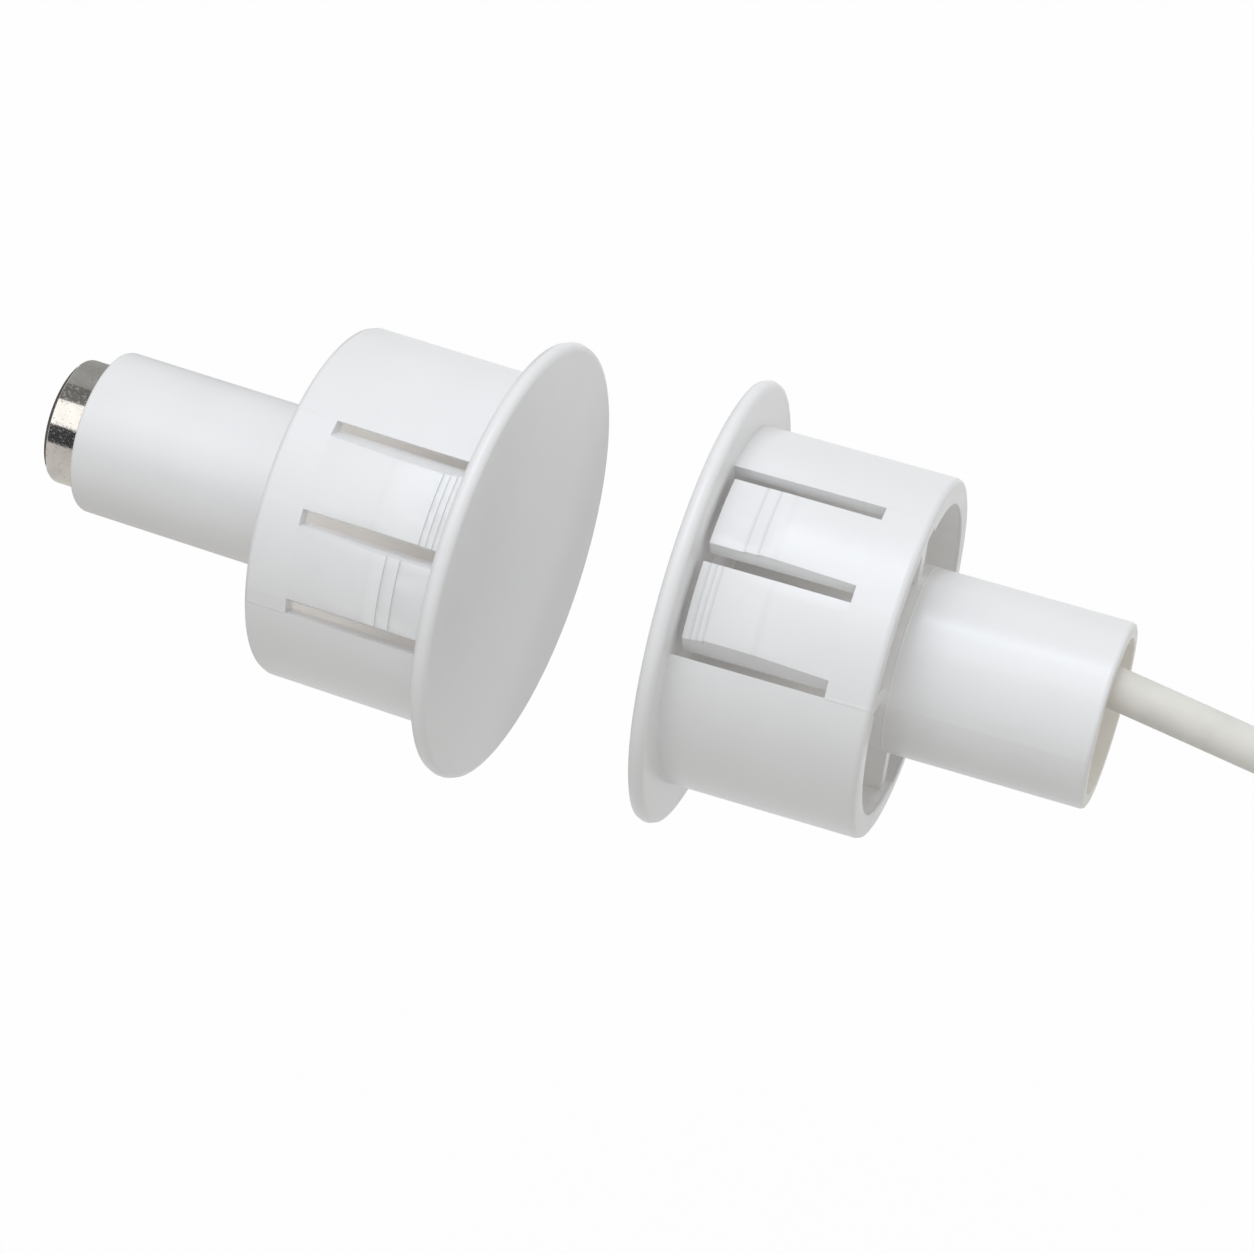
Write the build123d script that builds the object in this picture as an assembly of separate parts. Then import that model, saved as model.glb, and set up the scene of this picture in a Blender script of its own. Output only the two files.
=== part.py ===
from build123d import *
import math
import os

# Recessed magnetic contact for a steel door: a magnet half and a reed switch half, flange to flange.
# Millimetres. The origin is the centre of the switch half's seating face, the back of its flange.
# +X runs along the switch half's axis, from its flange to the cable end, and +Z is up.
# Each half is made on its own axis first: seating face at z = 0, front face below it, tube towards +z.

# Flange and collar, alike on both halves
flange_diameter = 31.3
flange_thickness = 1.2
flange_edge_round = 0.5
collar_diameter = 25.3
collar_length = 13.8
collar_wall = 1.7
collar_edge_round = 0.4

# Round edges of turned pieces are this many flats
round_steps = 2

# Ribs that carry the tube inside the collar, and the step at the tube's root
rib_thickness = 1.2
rib_turn = 40.0
rib_recess = 0.5
root_step_wall = 1.5
root_step_height = 1.3

# Snap fingers: two windows on opposite sides, with two fingers in each
finger_wall = 1.2
window_width = 13.5
window_length = 10.6
finger_tip_gap = 0.5
middle_slot = 1.2
outer_slot = 1.05
slot_draft = 12.0
# Lands of each kind of finger, from the tip: how far behind the seating face it ends, how proud it stands
tip_ridge_lands = [(1.1, 0.1), (1.55, 0.2), (2.0, 0.3), (5.45, 0.43)]
middle_ridge_lands = [(2.95, 0.2), (3.9, 0.33), (4.95, 0.45)]

# Magnet half
magnet_tube_diameter = 11.75
magnet_tube_length = 30.8
magnet_tube_mouth_round = 0.2
magnet_diameter = 9.1
magnet_length = 32.0
magnet_standout = 2.9
magnet_edge_round = 0.4
magnet_fingers_at = 47.8

# Switch half
switch_tube_diameter = 13.0
switch_tube_length = 27.7
switch_tube_mouth_round = 0.3
switch_bore_diameter = 11.0
switch_fingers_at = 111.8

# Place of the magnet half against the switch half: a door that is nearly shut and a little out of line
door_gap = 12.93
door_side_offset = 0.97
door_height_offset = 0.44
door_yaw = 3.49
door_pitch = 2.03

# Reed switch, on an axis of its own beside the tube's axis
reed_side = -1.5
reed_height = -0.6
glass_diameter = 2.2
glass_length = 10.0
glass_start = 2.8
glass_wall = 0.35
glass_seal = 1.7
glass_dome = 0.8
blade_width = 1.0
blade_thickness = 0.2
blade_overlap = 1.0
blade_gap = 0.1
lead_diameter = 0.5
lead_end = 14.2
return_lead_side = 1.4
return_lead_bend = 0.9
front_bend_at = 1.4
sleeve_wall = 0.3
sleeve_length = 10.0
solder_length = 2.2
solder_diameter = 1.3
solder_taper = 0.35

# Two-core lead
cable_diameter = 2.9
core_diameter = 1.1
core_spread = 0.62
core_start = 15.2
core_straight = 0.9
core_bend = 0.7
conductor_diameter = 0.64

# Potting in the switch tube
potting_depth = 3.3
meniscus_height = 0.5
meniscus_round = 0.45
meniscus_film = 0.1

# Route of the lead from its start in the potting to the coil
cable_route = [
    (18.9, 0.3, 3.9),
    (23.5, 0.3, 3.9),
    (30.0, 0.28, 2.32),
    (36.3, 0.28, 0.74),
    (42.0, 0.3, -0.74),
    (47.8, 0.5, -4.5),
    (52.1, 0.9, -10.0),
    (54.4, 1.45, -16.6),
    (54.4, 1.45, -22.2),
]
arc_share = 0.45

# Coil of four turns, two beside two, that hangs from the lead in the plane of X and Z
coil_mean_radius = 15.5
coil_entry_length = 11.0
coil_exit_length = 7.0
bundle_round = 1.4
bundle_round_steps = 3
end_overlap = 0.25
end_start_height = 3.0

# Strap that holds the turns and both ends together
tie_width = 2.6
tie_thickness = 0.8
tie_clearance = 0.1
tie_head_width = 3.8
tie_head_height = 2.2
tie_head_length = 3.6
tie_head_chamfer = 0.25
tie_tail_length = 7.0

# Stripped end of the lead
tail_length = 10.0
tip_length = 5.0
tail_splay = 8.0
tail_spread = 0.7

flange_radius = flange_diameter / 2
collar_radius = collar_diameter / 2
collar_bore_radius = collar_radius - collar_wall
finger_bore_radius = collar_radius - finger_wall
magnet_floor = magnet_tube_length + magnet_standout - magnet_length
cable_start, cable_side, cable_height = cable_route[0]
cable_radius = cable_diameter / 2
from_below = (Align.CENTER, Align.CENTER, Align.MIN)


def rod(radius, low, high):
    """A plain rod on the Z axis."""
    return Pos(0, 0, low) * Cylinder(radius, high - low, align=from_below)


def rounded(points, steps):
    """The points of a section, where each corner with a third value is rounded to that radius in flats."""
    outline = []
    for before, corner, after in zip(points[-1:] + points[:-1], points, points[1:] + points[:1]):
        place = Vector(*corner[:2])
        if len(corner) == 2:
            outline.append(place)
            continue
        radius = corner[2]
        way_in = (place - Vector(*before[:2])).normalized()
        way_out = (Vector(*after[:2]) - place).normalized()
        turn = way_in.get_signed_angle(way_out, Vector(0, 0, 1))
        start = place - way_in * radius * math.tan(math.radians(abs(turn)) / 2)
        to_centre = way_in.rotate(Axis.Z, math.copysign(90, turn)) * radius
        for step in range(steps + 1):
            outline.append(start + to_centre - to_centre.rotate(Axis.Z, turn * step / steps))
    return outline


def turned(points, steps=round_steps):
    """A solid turned about the Z axis from a section of (radius, height) points."""
    section = make_face(Polyline(*[(v.X, 0, v.Y) for v in rounded(points, steps)], close=True))
    return revolve(section, Axis.Z, 360)


def round_ended(radius, low, high, end_round):
    """A rod on the Z axis with rounded ends."""
    return turned([(0, low), (radius, low, end_round), (radius, high, end_round), (0, high)])


def slot_side(side, way):
    """One drafted side of a slot in a section across the axis, where the mould pulls along +X.
    It crosses the collar's surface at the given side, and way says to which side it leans going inwards."""
    at_surface = math.sqrt(collar_radius**2 - side**2)
    lean = way * math.tan(math.radians(slot_draft))
    outer, inner = collar_radius + collar_wall, at_surface - 2 * collar_wall
    return (outer, side + (at_surface - outer) * lean), (inner, side + (at_surface - inner) * lean)


def between_sides(low_side, high_side, way, low, high):
    """A block along the axis between two slot sides that lean apart (1) or together (-1) going inwards."""
    low_outer, low_inner = slot_side(low_side, -way)
    high_outer, high_inner = slot_side(high_side, way)
    section = make_face(Polyline(low_outer, low_inner, high_inner, high_outer, close=True))
    return Pos(0, 0, low) * extrude(section, high - low)


def window():
    """What is cut from the collar for one pair of fingers."""
    return between_sides(-window_width / 2, window_width / 2, -1, 0, window_length)


def finger(lands, low_side, high_side):
    """One snap finger: a turned profile with ridged lands, cut to its width."""
    profile = [(finger_bore_radius, finger_tip_gap)]
    start = finger_tip_gap
    for end, proud in lands:
        profile += [(collar_radius + proud, start), (collar_radius + proud, end)]
        start = end
    profile += [(collar_radius, window_length), (finger_bore_radius, window_length)]
    return turned(profile) & between_sides(low_side, high_side, 1, finger_tip_gap, window_length)


def fingers():
    """The two fingers of one window, each with its own ridges."""
    outer_side = window_width / 2 - outer_slot
    inner_side = middle_slot / 2
    ridged_at_middle = finger(middle_ridge_lands, -outer_side, -inner_side)
    ridged_at_tip = finger(tip_ridge_lands, inner_side, outer_side)
    return ridged_at_middle + ridged_at_tip


def relief():
    """What thins the wall between the two ribs beside a window, so that the fingers bend at their root."""
    half_rib = math.degrees(math.asin(rib_thickness / 2 / collar_bore_radius))
    sweep_angle = 2 * (rib_turn - half_rib)
    inner = collar_bore_radius - collar_wall / 2
    depth = finger_bore_radius - inner
    section = Plane.XZ * Pos(inner, 0, 0) * Rectangle(depth, collar_length, align=(Align.MIN, Align.MIN))
    return Rot(0, 0, -sweep_angle / 2) * revolve(section, Axis.Z, sweep_angle)


def rib(turn, tube_radius):
    """One rib from the tube's wall to the collar's wall."""
    inner = tube_radius - collar_wall / 4
    outer = collar_bore_radius + collar_wall / 4
    height = collar_length - rib_recess
    block = Box(outer - inner, rib_thickness, height, align=(Align.MIN, Align.CENTER, Align.MIN))
    return Rot(0, 0, turn) * Pos(inner, 0, 0) * block


def moulding(tube_radius, tube_length, mouth_round, bore_radius, bore_floor, fingers_at):
    """One housing: flange, collar, tube and ribs in one, with two windows of fingers."""
    root_radius = tube_radius + root_step_wall
    body = turned(
        [
            (0, -flange_thickness),
            (flange_radius, -flange_thickness, min(flange_edge_round, 0.48 * flange_thickness)),
            (flange_radius, 0, min(flange_edge_round, 0.48 * flange_thickness)),
            (collar_radius, 0),
            (collar_radius, collar_length, min(collar_edge_round, 0.48 * finger_wall)),
            (collar_bore_radius, collar_length),
            (collar_bore_radius, 0),
            (root_radius, 0),
            (root_radius, root_step_height),
            (tube_radius, root_step_height),
            (tube_radius, tube_length, min(mouth_round, 0.4 * (tube_radius - bore_radius))),
            (bore_radius, tube_length),
            (bore_radius, bore_floor),
            (0, bore_floor),
        ]
    )
    for side in (fingers_at, fingers_at + 180):
        body -= Rot(0, 0, side) * (window() + relief())
        body += Rot(0, 0, side) * fingers()
        for turn in (side - rib_turn, side + rib_turn):
            body += rib(turn, tube_radius)
    return body


def magnet():
    """The magnet rod, its ends slightly rounded."""
    return round_ended(magnet_diameter / 2, magnet_floor, magnet_floor + magnet_length, magnet_edge_round)


def on_reed(shape, height_offset=0):
    """Puts a shape from the Z axis on the reed's axis."""
    return Pos(reed_side, reed_height + height_offset, 0) * shape


def glass_outside():
    """The envelope of the glass, with domed ends."""
    radius = glass_diameter / 2
    return on_reed(round_ended(radius, glass_start, glass_start + glass_length, glass_dome * radius))


def glass_inside():
    """The hollow between the two seals of the glass."""
    radius = glass_diameter / 2 - glass_wall
    low, high = glass_start + glass_seal, glass_start + glass_length - glass_seal
    return on_reed(round_ended(radius, low, high, glass_dome * radius))


def blade(low, high, side):
    """The flat contact spring of one reed, a little to one side of the glass's axis."""
    block = Box(blade_width, blade_thickness, high - low, align=from_below)
    return on_reed(Pos(0, 0, low) * block, side * (blade_thickness + blade_gap) / 2)


def wire(points, diameter, bend):
    """A round wire along straight runs, with each corner bent in two steps."""
    ends = [Vector(*point) for point in points]
    route = ends[:1]
    for before, corner, after in zip(ends, ends[1:], ends[2:]):
        turn = math.radians((corner - before).get_angle(after - corner))
        cut = bend * math.tan(turn / 2)
        route += [corner - (corner - before).normalized() * cut, corner + (after - corner).normalized() * cut]
    path = Polyline(*route, ends[-1])
    section = Plane(origin=path @ 0, z_dir=path % 0) * Circle(diameter / 2)
    return sweep(section, path=path, transition=Transition.RIGHT)


def reed_blade_front():
    """The reed nearer the face, whose lead is bent back along the glass."""
    seal_end = glass_start + glass_seal
    points = [
        (reed_side, reed_height, seal_end),
        (reed_side, reed_height, front_bend_at),
        (return_lead_side, reed_height, front_bend_at),
        (return_lead_side, reed_height, lead_end),
    ]
    tip = glass_start + (glass_length + blade_overlap) / 2
    return wire(points, lead_diameter, return_lead_bend) + blade(seal_end - lead_diameter, tip, 1)


def reed_blade_rear():
    """The reed nearer the cable, with a straight lead."""
    seal_end = glass_start + glass_length - glass_seal
    tip = glass_start + (glass_length - blade_overlap) / 2
    return on_reed(rod(lead_diameter / 2, seal_end, lead_end)) + blade(tip, seal_end + lead_diameter, -1)


def lead_sleeve():
    """The sleeve that insulates the lead beside the glass."""
    middle = glass_start + glass_length / 2
    body = rod(lead_diameter / 2 + sleeve_wall, middle - sleeve_length / 2, middle + sleeve_length / 2)
    return Pos(return_lead_side, reed_height, 0) * (body - rod(lead_diameter / 2, 0, lead_end))


def conductor(side):
    """The bared end of a core, butted against a lead."""
    return Pos(side, reed_height, 0) * rod(conductor_diameter / 2, lead_end, core_start)


def core(side, way):
    """An insulated core, from its solder joint to the end of the jacket."""
    end_side = cable_side + way * core_spread
    points = [
        (side, reed_height, core_start),
        (side, reed_height, core_start + core_straight),
        (end_side, cable_height, cable_start - core_straight),
        (end_side, cable_height, cable_start),
    ]
    return wire(points, core_diameter, core_bend)


def solder(side):
    """The drop of solder round a lead and its conductor, with what it holds still in it."""
    radius, half = solder_diameter / 2, solder_length / 2
    neck = radius * (1 - solder_taper)
    lower = [(0, -half), (neck, -half), (radius, -half / 2)]
    upper = [(radius, half / 2), (neck, half), (0, half)]
    return Pos(side, reed_height, lead_end) * turned(lower + upper)


def potting_fill():
    """The resin before its inserts are taken out: its surface climbs the tube's wall in a small fillet."""
    radius, top = switch_bore_diameter / 2, switch_tube_length - potting_depth
    film = radius - meniscus_film
    edge = top + meniscus_height
    return turned([(0, 0), (radius, 0), (radius, edge), (film, edge), (film, top, meniscus_round), (0, top)])


def arc_radii(points):
    """The radius at each corner of a route, from the shorter of the runs beside it."""
    radii = []
    for before, corner, after in zip(points, points[1:], points[2:]):
        run_in, run_out = Vector(*corner) - Vector(*before), Vector(*after) - Vector(*corner)
        half_turn = math.radians(run_in.get_angle(run_out) / 2)
        radii.append(arc_share * min(run_in.length, run_out.length) / math.tan(half_turn))
    return radii


def cable_run():
    """The jacketed lead from the potting to the coil."""
    radii = arc_radii(cable_route)
    path = FilletPolyline(*cable_route, radius=radii)
    body = sweep(Plane(origin=path @ 0, z_dir=path % 0) * Circle(cable_radius), path=path)
    expected = math.pi * cable_radius**2 * path.length
    print("cable radii", [round(r, 1) for r in radii], "length", round(path.length, 2))
    print("cable volume", round(body.volume, 2), "section by length", round(expected, 2))
    return body


lead_x, lead_y, lead_z = cable_route[-1]
coil_x = lead_x + coil_mean_radius + cable_radius
coil_z = lead_z - coil_entry_length
end_x = lead_x - cable_diameter + end_overlap
jacket_end_z = coil_z - coil_exit_length


def cable_coil():
    """The put-away turns as one ring, the lead running into its side, its other end laid against it."""
    half = cable_diameter
    inner, outer = coil_mean_radius - half, coil_mean_radius + half
    corners = [(inner, -half), (outer, -half), (outer, half), (inner, half)]
    bundle = turned([(*corner, bundle_round) for corner in corners], bundle_round_steps)
    ring = Pos(coil_x, 0, coil_z) * Rot(90, 0, 0) * bundle
    way_in = Pos(lead_x, lead_y, 0) * rod(cable_radius, coil_z, lead_z)
    way_out = Pos(end_x, -lead_y, 0) * rod(cable_radius, jacket_end_z, coil_z + end_start_height)
    return ring + way_in + way_out


def coil_tie():
    """The strap pulled taut round all turns and both ends, with its head and a short tail."""
    places = [(x, y) for x in (lead_x, lead_x + cable_diameter) for y in (-lead_y, lead_y)]
    circles = [Pos(x, y, 0) * Circle(cable_radius + tie_clearance) for x, y in (*places, (end_x, -lead_y))]
    inside = make_hull([circle.edge() for circle in circles])
    band = extrude(offset(inside, tie_thickness) - inside, tie_width / 2, both=True)
    head = Box(tie_head_width, tie_head_height, tie_head_length)
    head = chamfer(head.edges(), tie_head_chamfer)
    tail = Box(tie_tail_length, tie_thickness, tie_width, align=(Align.MIN, Align.CENTER, Align.CENTER))
    buckle = Pos(0, -tie_head_height / 2, 0) * (head + tail)
    outer_face = -lead_y - cable_radius - tie_clearance - tie_thickness / 2
    return Pos(0, 0, coil_z) * (band + Pos(lead_x, outer_face, 0) * buckle)


def end_place(way):
    """Where one core leaves the jacket's far end: it points down and a little outwards."""
    return Pos(end_x, -lead_y + way * tail_spread, jacket_end_z) * Rot(180 + way * tail_splay, 0, 0)


def core_end(way):
    """One core past the end of the jacket, cut flat where it comes out."""
    inside_jacket = Pos(end_x, -lead_y, jacket_end_z) * rod(cable_diameter, 0, cable_diameter)
    return end_place(way) * rod(core_diameter / 2, -core_diameter / 2, tail_length) - inside_jacket


def conductor_end(way):
    """The bare tip of one core."""
    return end_place(way) * rod(conductor_diameter / 2, tail_length, tail_length + tip_length)


switch_place = Plane(origin=(0, 0, 0), x_dir=(0, 1, 0), z_dir=(1, 0, 0)).location

yaw, pitch = math.radians(door_yaw), math.radians(door_pitch)
door_axis = Vector(-math.cos(yaw) * math.cos(pitch), math.sin(yaw) * math.cos(pitch), -math.sin(pitch))
door_level = Vector(0, 0, 1).cross(door_axis)
door_face = Vector(-flange_thickness - door_gap, -door_side_offset, -door_height_offset)
door_seat = door_face + door_axis * flange_thickness
magnet_place = Plane(origin=door_seat, x_dir=door_level, z_dir=door_axis).location

magnet_housing = moulding(
    magnet_tube_diameter / 2,
    magnet_tube_length,
    magnet_tube_mouth_round,
    magnet_diameter / 2,
    magnet_floor,
    magnet_fingers_at,
)
switch_housing = moulding(
    switch_tube_diameter / 2,
    switch_tube_length,
    switch_tube_mouth_round,
    switch_bore_diameter / 2,
    0,
    switch_fingers_at,
)

run = cable_run()
front, rear = reed_blade_front(), reed_blade_rear()
sleeve = lead_sleeve()
conductor_a, conductor_b = conductor(reed_side), conductor(return_lead_side)
core_a, core_b = core(reed_side, -1), core(return_lead_side, 1)
solder_rear = solder(reed_side) - rear - conductor_a - core_a
solder_front = solder(return_lead_side) - front - conductor_b - core_b - sleeve
glass = glass_outside() - glass_inside() - front - rear

potting = potting_fill() - switch_place.inverse() * run
for insert in (glass_outside(), front, rear, sleeve, conductor_a, conductor_b, core_a, core_b):
    potting -= insert
potting = potting - solder(reed_side) - solder(return_lead_side)

pieces = {
    "magnet_housing": magnet_place * magnet_housing,
    "magnet": magnet_place * magnet(),
    "switch_housing": switch_place * switch_housing,
    "potting": switch_place * potting,
    "reed_glass": switch_place * glass,
    "reed_blade_front": switch_place * front,
    "reed_blade_rear": switch_place * rear,
    "lead_sleeve": switch_place * sleeve,
    "solder_front": switch_place * solder_front,
    "solder_rear": switch_place * solder_rear,
    "core_a_start": switch_place * core_a,
    "core_b_start": switch_place * core_b,
    "conductor_a_start": switch_place * conductor_a,
    "conductor_b_start": switch_place * conductor_b,
    "cable_run": run,
    "cable_coil": cable_coil(),
    "coil_tie": coil_tie(),
    "core_a_end": core_end(-1),
    "core_b_end": core_end(1),
    "conductor_a_end": conductor_end(-1),
    "conductor_b_end": conductor_end(1),
}

os.makedirs("parts", exist_ok=True)
for name, piece in pieces.items():
    export_step(piece, f"parts/{name}.step")
    print(name, "volume", round(piece.volume, 2))
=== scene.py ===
# %% [markdown]
# A recessed magnetic contact for a steel door. One moulded plug holds a magnet and snaps into the door's
# edge, the other holds a reed switch in resin and snaps into the frame, and a thin two-core lead runs from it.
# The CAD model fixes every size and place, in metres and in one frame. The cells below dress it: a camera,
# the lead, the mouldings and the small pieces, and a finish for each of them. The frame comes first, with one
# helper that puts a new object into the scene. The part's sizes are written in millimetres, times MM.

# %% The frame
import math

import bmesh
import bpy
from mathutils import Matrix, Vector


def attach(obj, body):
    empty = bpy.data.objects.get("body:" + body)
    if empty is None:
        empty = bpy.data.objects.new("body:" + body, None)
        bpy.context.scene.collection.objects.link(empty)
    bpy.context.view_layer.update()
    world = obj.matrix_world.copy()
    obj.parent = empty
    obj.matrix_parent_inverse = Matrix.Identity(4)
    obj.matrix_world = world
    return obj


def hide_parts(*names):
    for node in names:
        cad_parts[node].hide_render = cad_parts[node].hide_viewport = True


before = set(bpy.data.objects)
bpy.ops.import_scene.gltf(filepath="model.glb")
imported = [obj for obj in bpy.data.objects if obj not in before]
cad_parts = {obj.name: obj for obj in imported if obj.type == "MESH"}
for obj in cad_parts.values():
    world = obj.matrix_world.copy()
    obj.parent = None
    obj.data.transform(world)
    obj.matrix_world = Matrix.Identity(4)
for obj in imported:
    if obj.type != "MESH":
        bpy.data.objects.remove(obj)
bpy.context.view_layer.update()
MM = 0.001


def added(name, data):
    """A new object with its data, in the scene."""
    thing = bpy.data.objects.new(name, data)
    bpy.context.scene.collection.objects.link(thing)
    return thing


# %% [markdown]
# The camera stands where the photographer's did. The flanges are circles of one size, so their outlines in the
# picture tell the direction, the distance and the lens. The camera's back axis is written from its azimuth and
# elevation, and the quaternion that turns +Z to it, with Y up, is the camera's turn.

# %% The camera
CAMERA_AZIMUTH, CAMERA_ELEVATION = math.radians(19.828), math.radians(53.187)
CAMERA_PLACE = Vector((54.344, -169.380, 234.982)) * MM
PHOTO_SIDE, FOCAL_PIXELS = 1254, 4318
SENSOR_WIDTH = 36.0
NEAREST, FARTHEST = 0.01, 10


def photo_camera():
    """The camera, at the place and angle of the photograph."""
    level = math.cos(CAMERA_ELEVATION)
    away = Vector((math.sin(CAMERA_AZIMUTH) * level, -math.cos(CAMERA_AZIMUTH) * level, math.sin(CAMERA_ELEVATION)))
    data = bpy.data.cameras.new("photo_camera")
    data.sensor_width = SENSOR_WIDTH
    data.lens = SENSOR_WIDTH * FOCAL_PIXELS / PHOTO_SIDE
    data.clip_start, data.clip_end = NEAREST, FARTHEST
    camera = added("photo_camera", data)
    camera.location = CAMERA_PLACE
    camera.rotation_mode = "QUATERNION"
    camera.rotation_quaternion = away.to_track_quat("Z", "Y")
    bpy.context.scene.camera = camera
    return camera


print("lens", round(photo_camera().data.lens, 1), "mm")

# %% [markdown]
# The lead is a flexible round cable of a fixed length. It leaves the resin near the top of the switch tube, runs
# almost straight out of the picture and hangs down, where the rest of it is wound into four turns under a strap,
# two beside two. A bevelled NURBS curve models that best: a few given route points, the turns as more
# points of the same spline, and one even round section along it. The spline runs a little inside its points,
# so the turns' points stand on a slightly larger circle. The bevel is one metre and each point's radius scales
# it down to the lead's, because Blender counts the points' radii into the box that it gives for a curve.

# %% The lead's route and turns
CABLE_DIAMETER = 2.9
CABLE_ROUTE = [
    (18.9, 0.3, 3.9),
    (23.5, 0.3, 3.9),
    (30.0, 0.28, 2.32),
    (36.3, 0.28, 0.74),
    (42.0, 0.3, -0.74),
    (47.8, 0.5, -4.5),
    (52.1, 0.9, -10.0),
    (54.4, 1.45, -16.6),
    (54.4, 1.45, -22.2),
]
COIL_CENTRE = (71.35, -33.2)
POINTS_PER_TURN = 16
# Each turn's radius and its place along the coil's axis, and the degrees between which it moves to the next
STRAND_PLACES = [(16.95, 1.45), (14.05, 1.45), (14.05, -1.45), (16.95, -1.45), (19.6, -1.45)]
CROSSINGS = [(315, 347), (282, 315), (250, 282), (218, 250)]
JACKET_END = -40.2
LEAVING_HEIGHTS = (COIL_CENTRE[1] + 2, JACKET_END + 3, JACKET_END)
SECTION_STEPS, SPAN_STEPS = 7, 8


def eased(share):
    """A share from 0 to 1 that starts and ends gently."""
    share = min(max(share, 0), 1)
    return share * share * (3 - 2 * share)


def coil_points():
    """The turns' control points: each turn keeps its place until its crossing, then takes the next one."""
    step = 360 / POINTS_PER_TURN
    # Half way along a span this spline weighs its three points by 1/8, 3/4 and 1/8
    outside = 1 / (0.75 + 0.25 * math.cos(math.radians(step)))
    points = []
    for turn, (start, end) in enumerate(CROSSINGS):
        (radius, side), (next_radius, next_side) = STRAND_PLACES[turn], STRAND_PLACES[turn + 1]
        for number in range(POINTS_PER_TURN):
            degrees = number * step
            share = eased((degrees - start) / (end - start))
            reach = (radius + (next_radius - radius) * share) * outside
            angle = math.radians(180 + degrees)
            x, z = COIL_CENTRE[0] + reach * math.cos(angle), COIL_CENTRE[1] + reach * math.sin(angle)
            points.append((x, side + (next_side - side) * share, z))
    return points


def lead_curve():
    """The whole lead as one NURBS spline with a round section and closed ends."""
    last_radius, last_side = STRAND_PLACES[-1]
    end_x = COIL_CENTRE[0] - last_radius
    leaving = [(end_x, last_side, z) for z in LEAVING_HEIGHTS]
    points = CABLE_ROUTE + coil_points() + leaving
    data = bpy.data.curves.new("lead", "CURVE")
    data.dimensions = "3D"
    data.bevel_depth = 1.0
    data.bevel_resolution = SECTION_STEPS
    data.resolution_u = data.render_resolution_u = SPAN_STEPS
    data.use_fill_caps = True
    spline = data.splines.new("NURBS")
    spline.points.add(len(points) - 1)
    for point, place in zip(spline.points, points):
        point.co = (*(value * MM for value in place), 1)
        point.radius = CABLE_DIAMETER / 2 * MM
    spline.order_u = 3
    spline.use_endpoint_u = True
    return added("lead", data)


lead = lead_curve()
spline_length = lead.data.splines[0].calc_length()
print("lead of", len(lead.data.splines[0].points), "points, length in mm", round(spline_length / MM, 1))

# %% [markdown]
# Every finish below is a node tree, and so are the studio, the twisted wires and the strap's teeth. Small
# classes keep them short. Value wraps a socket, so that an expression such as 1 - mask * 0.5 adds the Math nodes
# by itself. Nodes fills a tree, and its one node method takes a node's type, its settings, which are set first,
# and the numbers or links of its sockets. Finish is the tree of a material, with the steps that most need.

# %% Helpers for node trees
class Value:
    """A socket of a node tree, with operators that add Math nodes."""

    def __init__(self, nodes, socket):
        self.nodes, self.socket = nodes, socket

    def maths(self, operation, *values):
        return self.nodes.node("ShaderNodeMath", {"operation": operation}, dict(enumerate(values)))

    def __add__(self, other):
        return self.maths("ADD", self, other)

    def __sub__(self, other):
        return self.maths("SUBTRACT", self, other)

    def __rsub__(self, other):
        return self.maths("SUBTRACT", other, self)

    def __mul__(self, other):
        return self.maths("MULTIPLY", self, other)

    def __or__(self, other):
        return self.maths("MAXIMUM", self, other)

    def __abs__(self):
        return self.maths("ABSOLUTE", self)

    def root(self):
        return self.maths("SQRT", self)

    def between(self, low, high, start=0.0, end=1.0):
        """start below low and end above high, with a smooth step from one to the other."""
        sockets = {"Value": self, "From Min": low, "From Max": high, "To Min": start, "To Max": end}
        return self.nodes.node("ShaderNodeMapRange", {"interpolation_type": "SMOOTHSTEP"}, sockets)


class Nodes:
    """A node tree that is built node by node."""

    def __init__(self, tree):
        self.tree = tree
        tree.nodes.clear()

    def node(self, kind, settings, sockets, output=0):
        """One node: its settings are set first, then its sockets get numbers or links, or a list of links."""
        made = self.tree.nodes.new(kind)
        for name, value in settings.items():
            setattr(made, name, value)
        for name, value in sockets.items():
            for item in value if isinstance(value, list) else [value]:
                if isinstance(item, Value):
                    self.tree.links.new(item.socket, made.inputs[name])
                else:
                    made.inputs[name].default_value = item
        return Value(self, made.outputs[output]) if made.outputs else None

    def plain_rays(self):
        """1 for the rays of the camera, of mirrors and of glass, which meet the studio as plain white."""
        rays = ("Is Camera Ray", "Is Glossy Ray", "Is Transmission Ray")
        camera, mirror, glass = (self.node("ShaderNodeLightPath", {}, {}, ray) for ray in rays)
        return camera | mirror | glass


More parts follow.
